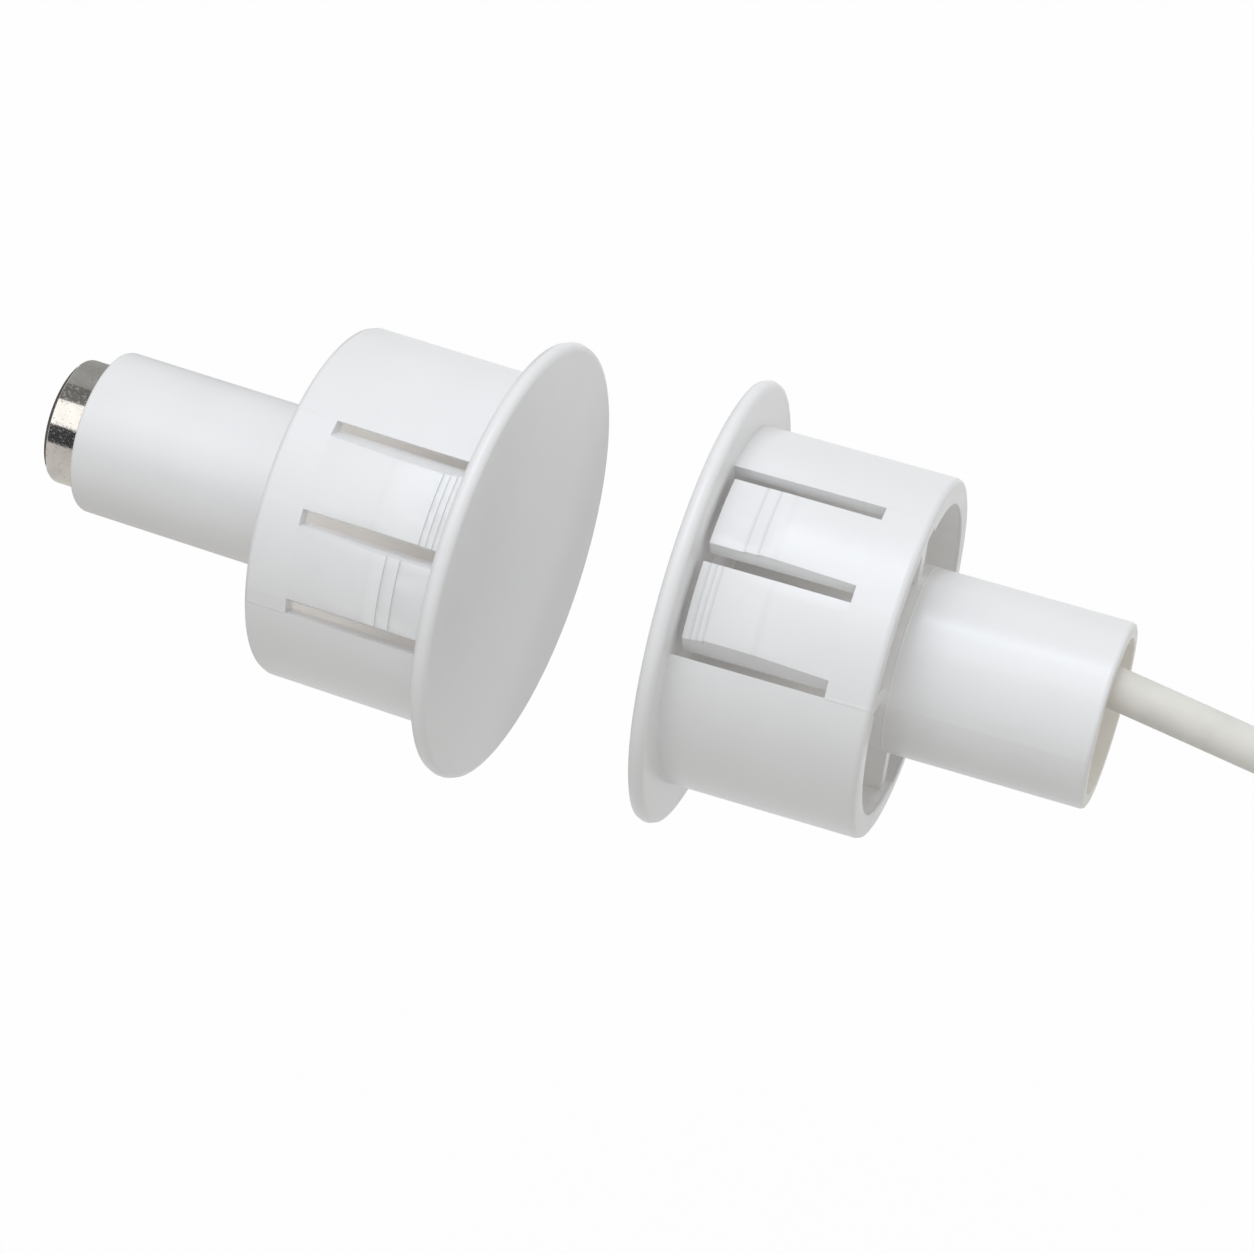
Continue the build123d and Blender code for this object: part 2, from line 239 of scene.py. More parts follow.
class Finish(Nodes):
    """The node tree of a new material."""

    def __init__(self, name):
        self.material = bpy.data.materials.new(name)
        self.material.use_nodes = True
        super().__init__(self.material.node_tree)

    def half_place(self):
        """The place in a half's own axes, in millimetres, that a moulding and the magnet carry in their points."""
        return self.node("ShaderNodeAttribute", {"attribute_name": "place"}, {}, "Vector")

    def noise(self, place, scale, detail):
        """Soft noise from 0 to 1, with about scale blobs to a unit of place."""
        return self.node("ShaderNodeTexNoise", {}, {"Vector": place, "Scale": scale, "Detail": detail}, "Fac")

    def grain(self, width, detail=2.0):
        """Soft noise in the piece's own coordinates, whose blobs are about width millimetres wide."""
        return self.noise(self.node("ShaderNodeTexCoord", {}, {}, "Object"), 1 / (width * MM), detail)

    def mix(self, share, low, high):
        """The colour low where share is 0 and high where it is 1."""
        sockets = {0: share, 6: low if isinstance(low, Value) else (*low, 1), 7: (*high, 1)}
        return self.node("ShaderNodeMix", {"data_type": "RGBA"}, sockets, 2)

    def bump(self, height, depth):
        """A normal that tilts as if the surface rose by depth millimetres where height is 1."""
        return self.node("ShaderNodeBump", {}, {"Height": height, "Distance": depth * MM, "Strength": 1.0})

    def closed(self, shader):
        """Ends the tree in a shader and gives its material."""
        self.node("ShaderNodeOutputMaterial", {}, {"Surface": shader})
        return self.material

    def surface(self, **sockets):
        """Ends the tree in a Principled shader, whose sockets' names are written with underscores."""
        named = {name.replace("_", " "): value for name, value in sockets.items()}
        return self.closed(self.node("ShaderNodeBsdfPrincipled", {}, named))


def finished(piece, material):
    """Gives a piece its one material."""
    piece.data.materials.clear()
    piece.data.materials.append(material)


print("helpers ready")

# %% [markdown]
# Each half has its own straight axes: along it, from the flange's back to the tube's end, and across it towards
# the middle of one pair of fingers. A finish that follows the mould, with its parting lines beside the windows,
# is written once in those axes. So each moulding carries its points' places in them as an attribute.

# %% The axes of each half
SWITCH_SEAT, SWITCH_LEVEL, SWITCH_RAISED = Vector((0, 0, 0)), Vector((0, 1, 0)), Vector((0, 0, 1))
MAGNET_SEAT = Vector((-15.327, -0.897, -0.4825)) * MM
MAGNET_LEVEL, MAGNET_RAISED = Vector((-0.060874, -0.998145, 0)), Vector((-0.035357, 0.002156, 0.999372))
SWITCH_FINGERS_AT, MAGNET_FINGERS_AT = 111.8, 47.8


def half_axes(seat, level, raised, fingers_at):
    """The matrix from a half's own axes to the frame: x across its fingers, y towards them, z along the half."""
    turn = math.radians(fingers_at)
    towards = (level * math.cos(turn) + raised * math.sin(turn)).normalized()
    along = level.cross(raised).normalized()
    axes = Matrix((towards.cross(along), towards, along)).transposed().to_4x4()
    return Matrix.Translation(seat) @ axes


switch_axes = half_axes(SWITCH_SEAT, SWITCH_LEVEL, SWITCH_RAISED, SWITCH_FINGERS_AT)
magnet_axes = half_axes(MAGNET_SEAT, MAGNET_LEVEL, MAGNET_RAISED, MAGNET_FINGERS_AT)
print("magnet half runs along", [round(v, 3) for v in magnet_axes.col[2][:3]])

# %% [markdown]
# The two mouldings are injection moulded in one piece each. Their form comes straight from the CAD nodes, whose
# windows, drafted slots and ridged fingers are exact. A real edge is never quite sharp, so a merged copy gets a
# hair-fine bevel that catches the light, and it then stands for the node. Merging joins the loose triangles,
# and dissolving the flat ones gives the bevel clean faces to work on. A round wall is many-sided in a mesh, so
# its shading normals are set to point straight out from the axis, and the light then runs along it unbroken.

# %% The mouldings
MERGE_DISTANCE = 0.002
FLAT_ANGLE, SHARP_ANGLE = math.radians(0.4), math.radians(50)
EDGE_BEVEL = 0.07
BEVEL_STEPS = 2
SWITCH_TUBE, MAGNET_TUBE, COLLAR_RADIUS = 6.5, 5.875, 12.65
WALL_SLACK, OUTWARD_SHARE = 0.03, 0.9


def merged_copy(node, name):
    """A copy of a CAD node with its triangles joined and its flat faces whole."""
    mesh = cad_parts[node].data.copy()
    form = bmesh.new()
    form.from_mesh(mesh)
    bmesh.ops.remove_doubles(form, verts=form.verts, dist=MERGE_DISTANCE * MM)
    bmesh.ops.dissolve_limit(form, angle_limit=FLAT_ANGLE, verts=form.verts, edges=form.edges)
    form.to_mesh(mesh)
    form.free()
    mesh.name = name
    mesh.shade_smooth()
    mesh.set_sharp_from_angle(angle=SHARP_ANGLE)
    piece = added(name, mesh)
    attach(piece, "root")
    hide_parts(node)
    return piece


def add_places(piece, axes):
    """Stores each point's place in a half's own axes, in millimetres."""
    inward = axes.inverted()
    places = piece.data.attributes.new("place", "FLOAT_VECTOR", "POINT")
    for vertex, place in zip(piece.data.vertices, places.data):
        place.vector = (inward @ vertex.co) / MM


def round_wall(piece, axes, radius):
    """Points the shading normals of a round outer wall straight out from the axis, so that no facet shows."""
    mesh, turn, wall = piece.data, axes.to_3x3(), 0
    places = [place.vector.copy() for place in mesh.attributes["place"].data]
    normals = [corner.vector.copy() for corner in mesh.corner_normals]
    for face in mesh.polygons:
        spokes = [Vector((places[index].x, places[index].y, 0)) for index in face.vertices]
        on_wall = all(abs(spoke.length - radius) < WALL_SLACK for spoke in spokes)
        outwards = [(turn @ spoke).normalized() for spoke in spokes]
        if on_wall and all(out.dot(face.normal) > OUTWARD_SHARE for out in outwards):
            wall += 1
            for corner, out in zip(face.loop_indices, outwards):
                normals[corner] = out
    mesh.normals_split_custom_set(normals)
    return wall


def soft_edges(piece, width):
    """Bevels the sharp edges by a width in millimetres."""
    bevel = piece.modifiers.new("soft_edges", "BEVEL")
    bevel.width = width * MM
    bevel.segments = BEVEL_STEPS
    bevel.limit_method = "ANGLE"
    bevel.angle_limit = SHARP_ANGLE
    bevel.harden_normals = True


switch_moulding = merged_copy("switch_housing", "switch_moulding")
magnet_moulding = merged_copy("magnet_housing", "magnet_moulding")
halves = ((switch_moulding, switch_axes, SWITCH_TUBE), (magnet_moulding, magnet_axes, MAGNET_TUBE))
for moulding, axes, tube in halves:
    add_places(moulding, axes)
    walls = [round_wall(moulding, axes, radius) for radius in (tube, COLLAR_RADIUS)]
    soft_edges(moulding, EDGE_BEVEL)
    print(moulding.name, "faces", len(moulding.data.polygons), "on tube and collar", walls)

# %% [markdown]
# The plastic is a plain white with a half gloss, a little uneven as thick mouldings are. Two things tell that
# it was moulded: the fine parting lines that run from the outer slots to the collar's back edge, and the
# witness line round each tube. Bump draws both, and soft noise gives flow marks and a hint of sink. Painted
# shade greys the foot of each step of the finger ridges. The walls are thin, and painted light stands in for
# what they let through: the plastic inside the collar and on the tube's root is painted paler and glows very
# faintly, and a painted glow lights the switch tube's bore. The switch tube's mouth has an ivory film of resin.

# %% The white plastic
WINDOW_EDGE, WINDOW_END = 6.75, 10.6
PARTING_LINE, WITNESS_LINE = (0.03, 0.12), (0.02, 0.1)
TUBE_WITNESS = 13.7
TIP_STEPS, MIDDLE_STEPS = (1.1, 1.55, 2.0), (2.95, 3.9)
TIP_RAMP, MIDDLE_RAMP = 5.45, 4.95
# Widths of the painted shade before each ridge step and at the ramp, its soft edge after the step, and the ramp's
# share
STEP_SHADE, STEP_EDGE, RAMP_SHADE, RAMP_SHARE = 0.3, 0.08, 0.45, 0.25
MOUTH_START, MOUTH_FACE, BORE_RADIUS, MOUTH_RADIUS = 23.0, 27.5, 5.5, 6.3
# Painted light inside the collar and on the tube's root: where it fades out, and where its glow rises to full
PAINTED_LIGHT_FADE, PAINTED_GLOW_RISE, PAINTED_GLOW_LEAST = (10.5, 15.0), (2.0, 11.0), 0.35
# The last of these whites is the paler painted light inside the collar
WHITE, CLOUD_WHITE, PAINTED_LIGHT_WHITE = (0.853, 0.856, 0.856), (0.873, 0.876, 0.876), (0.93, 0.92, 0.907)
# The grey of the painted shade in the ridges, and the ivory of the resin film
PAINTED_SHADE_GREY, IVORY_FILM = (0.60, 0.60, 0.595), (0.83, 0.81, 0.76)
# The colour of the painted glow inside the collar, and the strength of the painted glow in the switch tube's bore
PAINTED_GLOW_COLOUR, PAINTED_BORE_GLOW = (0.110, 0.104, 0.098), 0.55


def ridge_shade(along, steps, ramp):
    """The painted shade of the ridges: 1 at the foot of each ridge step and fading before it, and a faint band
    where the ramp starts.
    """
    shade = (abs(along - ramp)).between(0, RAMP_SHADE, RAMP_SHARE, 0)
    for step in steps:
        shade = along.between(step - STEP_SHADE, step) * along.between(step, step + STEP_EDGE, 1, 0) + shade
    return shade


def white_plastic(name, film, glow, shade):
    """The half-gloss white of a moulding, with its share of resin film, of painted glow and of painted shade in the
    ridges.
    """
    finish = Finish(name)
    place = finish.half_place()
    across, towards, along = (finish.node("ShaderNodeSeparateXYZ", {}, {0: place}, axis) for axis in "XYZ")
    radius = (across * across + towards * towards).root()
    clouds = finish.noise(place, 0.16, 3.0)
    grain = finish.noise(place, 5.0, 3.0)
    flow = finish.noise(place, 0.7, 2.0)
    beside_window = (abs(abs(across) - WINDOW_EDGE)).between(*PARTING_LINE, 1, 0)
    behind_window = along.between(WINDOW_END - 0.1, WINDOW_END + 0.1)
    on_collar = radius.between(COLLAR_RADIUS - 0.3, COLLAR_RADIUS - 0.1)
    parting = beside_window * behind_window * on_collar
    witness = (abs(along - TUBE_WITNESS)).between(*WITNESS_LINE, 1, 0) * (1 - on_collar)
    inside = radius.between(COLLAR_RADIUS - 1.6, COLLAR_RADIUS - 0.6, 1, 0)
    # Painted light: the plastic inside the collar and on the tube's root is made paler and glows
    painted_light_inside = inside * along.between(-0.1, 0.0) * along.between(*PAINTED_LIGHT_FADE, 1, 0)
    on_middle = (across * towards).between(-0.5, 0.5)
    # Painted shade at the foot of each finger ridge step
    painted_ridge_shade = ridge_shade(along, TIP_STEPS, TIP_RAMP) * (1 - on_middle)
    painted_ridge_shade = painted_ridge_shade + ridge_shade(along, MIDDLE_STEPS, MIDDLE_RAMP) * on_middle
    painted_ridge_shade = painted_ridge_shade * radius.between(COLLAR_RADIUS + 0.04, COLLAR_RADIUS + 0.08)
    bore = radius.between(BORE_RADIUS + 0.04, BORE_RADIUS + 0.1, 1, 0) * along.between(MOUTH_START, MOUTH_START + 1)
    mouth = radius.between(MOUTH_RADIUS - 0.05, MOUTH_RADIUS + 0.05, 1, 0)
    mouth = mouth * along.between(MOUTH_FACE, MOUTH_FACE + 0.1)
    # Painted glow, emitted inside the collar and in the switch tube's bore
    lit = painted_light_inside * along.between(*PAINTED_GLOW_RISE, PAINTED_GLOW_LEAST, 1.0) * glow + bore * film * PAINTED_BORE_GLOW
    base = finish.mix(clouds.between(0.3, 0.7), WHITE, CLOUD_WHITE)
    # Painted light: a paler white inside the collar
    base = finish.mix(painted_light_inside * 0.9, base, PAINTED_LIGHT_WHITE)
    # Painted shade: grey at the feet of the ridge steps
    base = finish.mix(painted_ridge_shade * shade, base, PAINTED_SHADE_GREY)
    base = finish.mix((bore | mouth) * film, base, IVORY_FILM)
    return finish.surface(
        Base_Color=base,
        Roughness=clouds.between(0.2, 0.8, 0.27, 0.34) + grain * 0.05,
        Specular_IOR_Level=0.45,
        # The painted glow, as emission
        Emission_Color=finish.mix(lit, (0, 0, 0), PAINTED_GLOW_COLOUR),
        Emission_Strength=1.0,
        Normal=finish.bump(flow * 0.5 + grain * 0.12 + parting + witness * 0.8, depth=0.02),
    )


# Each half's share of resin film, of painted glow and of painted shade in the ridges
finished(switch_moulding, white_plastic("switch_plastic", film=1.0, glow=0.36, shade=0.45))
finished(magnet_moulding, white_plastic("magnet_plastic", film=0.0, glow=1.3, shade=0.2))
print("plastic on", switch_moulding.name, "and", magnet_moulding.name)

# %% [markdown]
# The magnet is a turned and tumbled rod with bright nickel plating. A lathe is the natural way to make it: a
# short profile of radius and height, with rounded end corners, spun about its axis. It stands for the CAD rod
# and has the same size, with far smoother corners for the hard reflections of the metal.

# %% The magnet rod
MAGNET_RADIUS, MAGNET_START, MAGNET_END = 4.55, 1.7, 33.7
MAGNET_CORNER = 0.4
LATHE_STEPS, CORNER_STEPS = 96, 6


def rounded_rod_profile(radius, low, high, corner):
    """(radius, height) points of a rod with rounded ends, from its lower centre to its upper centre."""
    quarter = [math.pi / 2 * number / CORNER_STEPS for number in range(CORNER_STEPS + 1)]
    lower = [(radius - corner + corner * math.sin(a), low + corner - corner * math.cos(a)) for a in quarter]
    upper = [(radius - corner + corner * math.cos(a), high - corner + corner * math.sin(a)) for a in quarter]
    return lower + upper


def turned_piece(name, profile, axes):
    """A solid turned from a profile about the z axis of a half, with flat ends."""
    form = bmesh.new()
    rings = []
    angles = [2 * math.pi * number / LATHE_STEPS for number in range(LATHE_STEPS)]
    for radius, height in profile:
        places = [Vector((radius * math.cos(a), radius * math.sin(a), height)) * MM for a in angles]
        rings.append([form.verts.new(axes @ place) for place in places])
    for ring, above in zip(rings, rings[1:]):
        for number in range(LATHE_STEPS):
            beside = (number + 1) % LATHE_STEPS
            form.faces.new((ring[number], ring[beside], above[beside], above[number]))
    form.faces.new(reversed(rings[0]))
    form.faces.new(rings[-1])
    mesh = bpy.data.meshes.new(name)
    form.to_mesh(mesh)
    form.free()
    mesh.shade_smooth()
    mesh.set_sharp_from_angle(angle=SHARP_ANGLE)
    piece = added(name, mesh)
    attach(piece, "root")
    return piece


magnet_profile = rounded_rod_profile(MAGNET_RADIUS, MAGNET_START, MAGNET_END, MAGNET_CORNER)
magnet_rod = turned_piece("magnet_rod", magnet_profile, magnet_axes)
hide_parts("magnet")
add_places(magnet_rod, magnet_axes)
print("magnet rod vertices", len(magnet_rod.data.vertices))

# %% [markdown]
# Nickel is a mirror at heart, so it shows hard bright and dark bands of whatever stands round it. What makes it
# look used are fine rub marks along the rod, a few specks where the plating is pitted, and a faint warm stain.
# All of these only change its colour, its roughness and a shallow bump.

# %% The nickel plating
NICKEL, STAINED_NICKEL, PIT_BROWN = (0.76, 0.745, 0.72), (0.68, 0.655, 0.62), (0.42, 0.37, 0.32)


def nickel():
    """Bright plating with rub marks, specks and a slight stain, in the magnet half's own axes."""
    finish = Finish("bright_nickel")
    place = finish.half_place()
    stretched = finish.node("ShaderNodeMapping", {}, {"Vector": place, "Scale": (1, 1, 0.5)})
    rubs = finish.noise(stretched, 8.0, 6.0)
    specks = finish.noise(place, 5.0, 3.0)
    stain = finish.noise(place, 0.8, 3.0)
    pits = specks.between(0.65, 0.70)
    scuffs = rubs.between(0.50, 0.70)
    base = finish.mix(stain.between(0.35, 0.75), NICKEL, STAINED_NICKEL)
    base = finish.mix(pits * 0.8, base, PIT_BROWN)
    return finish.surface(
        Base_Color=base,
        Metallic=1.0,
        Roughness=scuffs * 0.21 + pits * 0.1 + 0.105,
        Normal=finish.bump(scuffs * 0.3 + pits * -0.5, depth=0.002),
    )


finished(magnet_rod, nickel())
print("nickel on", magnet_rod.name)

# %% [markdown]
# The lead's jacket is soft warm ivory plastic. Its satin skin is a little uneven from the extruder, with faint
# grey from handling. A curve carries its own UV map along its length, but noise on Object coordinates needs no
# seam, so the fine skin, the ripples and the grey are noise of three sizes.

# %% The lead's jacket
IVORY, HANDLED_IVORY = (0.80, 0.785, 0.735), (0.75, 0.735, 0.685)


def jacket():
    """Satin ivory with fine ripples and faint grey marks."""
    finish = Finish("ivory_jacket")
    marks = finish.grain(2.6, 4.0)
    skin = finish.grain(0.25, 3.0)
    ripples = finish.grain(1.1, 1.0)
    base = finish.mix(marks.between(0.35, 0.75), IVORY, HANDLED_IVORY)
    return finish.surface(
        Base_Color=base,
        Roughness=marks.between(0.25, 0.75, 0.40, 0.52),
        Specular_IOR_Level=0.42,
        Normal=finish.bump(skin * 0.3 + ripples * 0.7, depth=0.02),
    )


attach(lead, "root")
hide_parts("cable_run", "cable_coil")
finished(lead, jacket())
print("jacket on", lead.name)

# %% [markdown]
# Resin fills the switch tube to a few millimetres below its mouth and holds the reed switch and the lead. It was
# poured, so it is glossy, climbs the wall in a small curve and has soft dents. The CAD node has that surface
# already, with the true openings for what it holds, so it stays and gets a clear-coated, dented finish.

# %% The resin
RESIN, CLOUDED_RESIN = (0.70, 0.68, 0.62), (0.62, 0.595, 0.53)


def resin():
    """Glossy warm grey resin, dented and slightly cloudy."""
    finish = Finish("poured_resin")
    clouds = finish.grain(1.6, 3.0)
    dents = finish.grain(1.3, 1.5)
    bubbles = finish.grain(0.35).between(0.66, 0.74)
    base = finish.mix(clouds.between(0.3, 0.7), RESIN, CLOUDED_RESIN)
    return finish.surface(
        Base_Color=base,
        Roughness=clouds.between(0.2, 0.8, 0.10, 0.2),
        Coat_Weight=0.5,
        Coat_Roughness=0.05,
        Normal=finish.bump(dents + bubbles * -0.3, depth=0.35),
    )


finished(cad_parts["potting"], resin())
print("resin on potting")

# %% [markdown]
# Inside the resin sit the reed switch, its sleeve, the solder joints and the cores. Nothing of them shows from
# outside, but someone may cut the model open, so each has the finish of the real thing: clear glass, dull
# nickel iron, a matte sleeve, bright solder, satin core insulation and bare copper. One function serves all
# of them, because they differ only in their two tones, gloss and metal.

# %% The finishes inside and at the lead's end
GLASS, THICK_GLASS = (0.93, 0.98, 0.96), (0.87, 0.95, 0.92)
GLOSS_RANGE = 0.12


def small_finish(name, light, dark, gloss, metal, grain, depth):
    """A two-tone finish with noise of one grain in colour, gloss and bump."""
    finish = Finish(name)
    marks = finish.grain(grain, 4.0)
    return finish.surface(
        Base_Color=finish.mix(marks.between(0.3, 0.7), light, dark),
        Metallic=metal,
        Roughness=marks.between(0.3, 0.7, gloss, gloss + GLOSS_RANGE),
        Normal=finish.bump(marks, depth),
    )


def clear_glass():
    """Clear glass, faintly green, with slight waves."""
    finish = Finish("clear_glass")
    waves = finish.grain(1.5, 1.0)
    return finish.surface(
        Base_Color=finish.mix(waves, GLASS, THICK_GLASS),
        Roughness=waves.between(0.3, 0.7, 0.02, 0.06),
        Transmission_Weight=1.0,
        IOR=1.48,
        Normal=finish.bump(waves, depth=0.01),
    )


# Each has a light and a dark tone, its roughness, its metal, its grain and the depth of its bump
reed_iron = small_finish("reed_iron", (0.62, 0.60, 0.56), (0.52, 0.50, 0.46), 0.3, 1.0, 0.3, 0.005)
sleeve_skin = small_finish("sleeve_skin", (0.86, 0.85, 0.80), (0.78, 0.77, 0.72), 0.55, 0.0, 0.4, 0.01)
bright_solder = small_finish("bright_solder", (0.72, 0.72, 0.72), (0.55, 0.55, 0.55), 0.2, 1.0, 0.5, 0.02)
dark_core = small_finish("dark_core", (0.05, 0.05, 0.055), (0.03, 0.03, 0.033), 0.38, 0.0, 0.5, 0.01)
light_core = small_finish("light_core", (0.86, 0.86, 0.84), (0.79, 0.79, 0.77), 0.38, 0.0, 0.5, 0.01)
bare_copper = small_finish("bare_copper", (0.85, 0.50, 0.34), (0.72, 0.38, 0.25), 0.25, 1.0, 0.3, 0.005)
tinned_copper = small_finish("tinned_copper", (0.74, 0.71, 0.66), (0.60, 0.57, 0.52), 0.28, 1.0, 0.3, 0.005)

node_finishes = {
    "reed_glass": (clear_glass(), "glass"),
    "reed_blade_front": (reed_iron, "reed"),
    "reed_blade_rear": (reed_iron, "reed"),
    "lead_sleeve": (sleeve_skin, "sleeve"),
    "solder_front": (bright_solder, "solder"),
    "solder_rear": (bright_solder, "solder"),
    "core_a_start": (dark_core, "core_dark"),
    "core_b_start": (light_core, "core_light"),
    "core_a_end": (dark_core, "core_dark"),
    "core_b_end": (light_core, "core_light"),
    "conductor_a_start": (bare_copper, "copper"),
    "conductor_b_start": (bare_copper, "copper"),
}
for node, (material, slot) in node_finishes.items():
    finished(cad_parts[node], material)
print("finished nodes", len(node_finishes))

# %% [markdown]
# The bare tips are seven thin wires, six of them twisted round a straight one. Geometry Nodes suit a shape that
# follows a rule: a spiral is copied six times about the axis, a line runs through the middle, and both get a
# round section. The tree's inputs are the wire's size, the length and the number of twists. The result is
# turned into a plain mesh and laid along its core.

# %% The stranded tips
STRAND_DIAMETER, STRAND_TWISTS = 0.21, 1.6
OUTER_STRANDS, SPIRAL_STEPS, WIRE_SIDES = 6, 24, 8
CORE_LENGTH, TIP_LENGTH = 10.0, 4.9
TAIL_SPLAY, TAIL_SPREAD = 8.0, 0.7


class Growth(Nodes):
    """A Geometry Nodes tree with named number inputs."""

    def __init__(self, name, inputs):
        super().__init__(bpy.data.node_groups.new(name, "GeometryNodeTree"))
        self.name, self.inputs = name, inputs
        self.tree.interface.new_socket("Geometry", in_out="OUTPUT", socket_type="NodeSocketGeometry")
        for label in inputs:
            self.tree.interface.new_socket(label, in_out="INPUT", socket_type="NodeSocketFloat")

    def input(self, label):
        return self.node("NodeGroupInput", {}, {}, label)

    def piece(self, geometry, axes):
        """Ends the tree, runs it once and returns its result as a plain mesh laid in the given axes."""
        real = self.node("GeometryNodeRealizeInstances", {}, {0: geometry})
        self.node("NodeGroupOutput", {}, {0: real})
        carrier = added(self.name, bpy.data.meshes.new(self.name))
        modifier = carrier.modifiers.new("tree", "NODES")
        modifier.node_group = self.tree
        for item in self.tree.interface.items_tree:
            if item.in_out == "INPUT":
                modifier[item.identifier] = float(self.inputs[item.name])
        evaluated = carrier.evaluated_get(bpy.context.evaluated_depsgraph_get())
        carrier.data = bpy.data.meshes.new_from_object(evaluated)
        carrier.modifiers.remove(modifier)
        carrier.data.transform(axes)
        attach(carrier, "root")
        print(self.name, "faces", len(carrier.data.polygons))
        return carrier


def stranded_tip(name, axes):
    """Six wires twisted round a straight one, of the tip's length."""
    inputs = {"Wire": STRAND_DIAMETER * MM, "Length": TIP_LENGTH * MM, "Twists": STRAND_TWISTS}
    tree = Growth(name, inputs)
    sockets = {
        "Resolution": SPIRAL_STEPS,
        "Rotations": tree.input("Twists"),
        "Start Radius": tree.input("Wire"),
        "End Radius": tree.input("Wire"),
        "Height": tree.input("Length"),
    }
    spiral = tree.node("GeometryNodeCurveSpiral", {}, sockets)
    end = tree.node("ShaderNodeCombineXYZ", {}, {"Z": tree.input("Length")})
    middle = tree.node("GeometryNodeCurvePrimitiveLine", {}, {"Start": (0, 0, 0), "End": end})
    centred = tree.node("GeometryNodePoints", {}, {"Count": OUTER_STRANDS})
    turn = tree.node("GeometryNodeInputIndex", {}, {})
    rotation = tree.node("ShaderNodeCombineXYZ", {}, {"Z": turn * (2 * math.pi / OUTER_STRANDS)})
    copies = {"Points": centred, "Instance": spiral, "Rotation": rotation}
    ring = tree.node("GeometryNodeInstanceOnPoints", {}, copies)
    all_wires = tree.node("GeometryNodeJoinGeometry", {}, {0: [ring, middle]})
    real = tree.node("GeometryNodeRealizeInstances", {}, {0: all_wires})
    circle = {"Resolution": WIRE_SIDES, "Radius": tree.input("Wire") * 0.5}
    section = tree.node("GeometryNodeCurvePrimitiveCircle", {}, circle)
    tube = {"Curve": real, "Profile Curve": section, "Fill Caps": True}
    wires = tree.node("GeometryNodeCurveToMesh", {}, tube)
    smooth = tree.node("GeometryNodeSetShadeSmooth", {}, {"Geometry": wires})
    return tree.piece(smooth, axes)


last_radius, last_side = STRAND_PLACES[-1]
for letter, way in (("a", -1), ("b", 1)):
    turn = Matrix.Rotation(math.radians(180 + way * TAIL_SPLAY), 4, "X")
    root = Vector((COIL_CENTRE[0] - last_radius, last_side + way * TAIL_SPREAD, JACKET_END)) * MM
    along_core = Matrix.Translation(Vector((0, 0, CORE_LENGTH)) * MM)
    tip = stranded_tip(f"stranded_tip_{letter}", Matrix.Translation(root) @ turn @ along_core)
    finished(tip, tinned_copper)
    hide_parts(f"conductor_{letter}_end")

# %% [markdown]
# A nylon strap holds the turns. The CAD node has its taut loop, head and short tail, and what is missing are the
# fine teeth on the tail that the head's pawl grips. They repeat, so Geometry Nodes lay one small wedge again
# and again along a line. The nylon itself is milky and a little glossy, with faint marks.

# %% The strap's teeth
TAIL_START, TAIL_REACH = 56.9, 4.2
TOOTH_PITCH, TOOTH_HEIGHT, TOOTH_WIDTH = 0.35, 0.14, 1.7
TAIL_FACE = -4.1
NYLON, WORN_NYLON = (0.84, 0.835, 0.80), (0.78, 0.775, 0.735)


def nylon():
    """Milky nylon with faint marks."""
    finish = Finish("milky_nylon")
    marks = finish.grain(1.2, 4.0)
    fine = finish.grain(0.2)
    return finish.surface(
        Base_Color=finish.mix(marks.between(0.3, 0.7), NYLON, WORN_NYLON),
        Roughness=marks.between(0.3, 0.7, 0.34, 0.46),
        Normal=finish.bump(marks * 0.6 + fine * 0.4, depth=0.02),
    )


def strap_teeth():
    """A row of small teeth along the strap's tail."""
    inputs = {"Pitch": TOOTH_PITCH * MM, "Height": TOOTH_HEIGHT * MM, "Width": TOOTH_WIDTH * MM}
    tree = Growth("strap_teeth", inputs)
    step = tree.node("ShaderNodeCombineXYZ", {}, {"X": tree.input("Pitch")})
    count = round(TAIL_REACH / TOOTH_PITCH)
    line = tree.node("GeometryNodeMeshLine", {}, {"Count": count, "Offset": step})
    sockets = {"Vertices": 3, "Radius": tree.input("Height"), "Depth": tree.input("Width")}
    wedge = tree.node("GeometryNodeMeshCylinder", {}, sockets)
    row = tree.node("GeometryNodeInstanceOnPoints", {}, {"Points": line, "Instance": wedge})
    place = Matrix.Translation(Vector((TAIL_START, TAIL_FACE, COIL_CENTRE[1])) * MM)
    return tree.piece(row, place)


milky_nylon = nylon()
finished(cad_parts["coil_tie"], milky_nylon)
finished(strap_teeth(), milky_nylon)

# %% [markdown]
# The studio is a plain one: an even, slightly warm surround gives most of the light, one broad soft cool lamp
# above adds the brighter tops, and a small one lays the soft streak along the right tube. The surround shows
# as plain white to the camera and in reflections. The lamps' places and sides are in metres, their power in watts.

# %% The light
SURROUND_LIGHT, SURROUND_COLOUR = 0.615, (1.0, 0.987, 0.962)
KEY_PLACE, KEY_SIDE, KEY_WATTS = Vector((-0.06, -0.02, 0.50)), 0.34, 0.88
STREAK_PLACE, STREAK_SIDE, STREAK_WATTS = Vector((-0.022, 0.125, 0.43)), 0.045, 0.17
KEY_TARGET, STREAK_TARGET = Vector((0, 0, 0)), Vector((0.02, 0, 0))
LAMP_COLOUR = (0.85, 0.905, 1.0)
PLAIN_WHITE = (1, 1, 1, 1)


